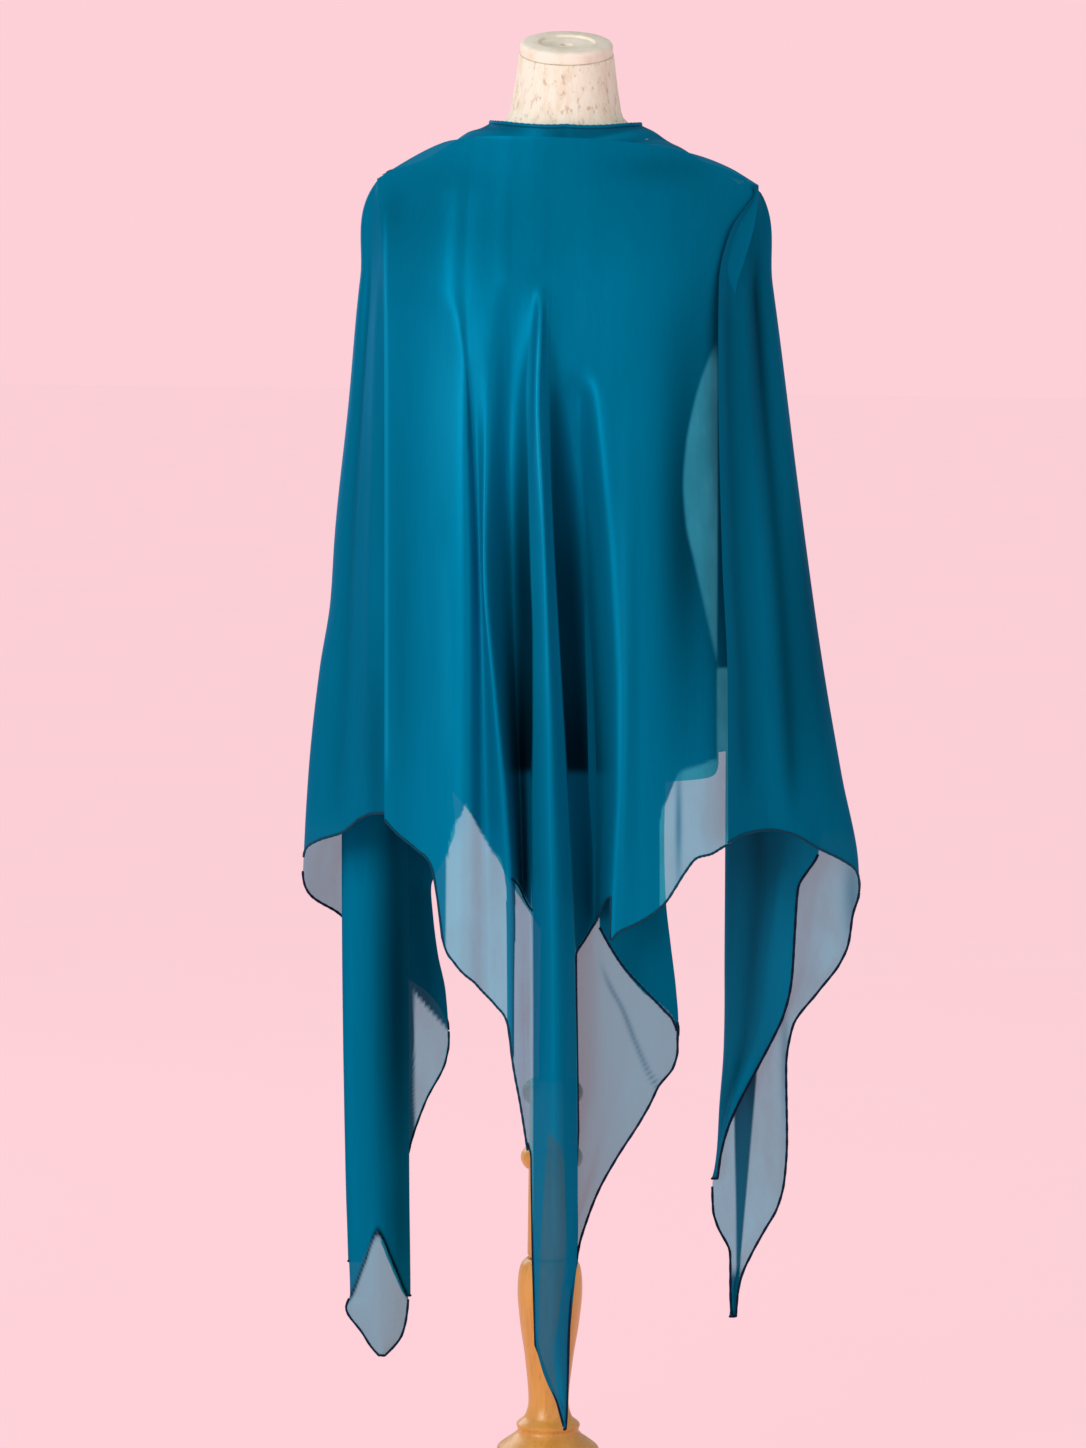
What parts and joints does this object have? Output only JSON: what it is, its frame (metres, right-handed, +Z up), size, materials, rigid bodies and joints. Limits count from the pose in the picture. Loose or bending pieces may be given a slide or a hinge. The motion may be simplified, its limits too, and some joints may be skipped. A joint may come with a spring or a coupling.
{
  "type": "silk satin scarf on a dress form",
  "caption": "Large square silk satin scarf draped like a poncho over a limbless dress form with a turned wooden stand.",
  "frame": {"origin": "centre of the stand's base on the floor", "axes": "+Z up along the stand, -Y towards the viewer of the scarf's front, +X to that viewer's right"},
  "size_m": [0.5572, 0.3166, 1.4896],
  "materials": {
    "silk": "sheer satin sheen",
    "linen": "matte, mottled",
    "linen_cap": "matte, mottled",
    "wood": "satin varnish",
    "pole": "satin black"
  },
  "bodies": {
    "root": {"scarf_neck_wrap": "silk", "scarf_front_left": "silk", "scarf_front_fall": "silk", "scarf_front_right": "silk", "scarf_front_set_back": "silk", "scarf_front_turn": "silk", "scarf_left_drape": "silk", "scarf_left_back": "silk", "scarf_left_tail_inner": "silk", "scarf_left_tail_front": "silk", "scarf_left_tail_turn": "silk", "scarf_right_drape": "silk", "scarf_right_tail_back": "silk", "scarf_right_tail_front": "silk", "scarf_back": "silk", "form_torso": "linen", "form_neck_cap": "linen_cap", "stand_pole": "pole", "stand_column": "wood", "stand_baluster": "wood", "stand_base": "wood"}
  },
  "joints": []
}
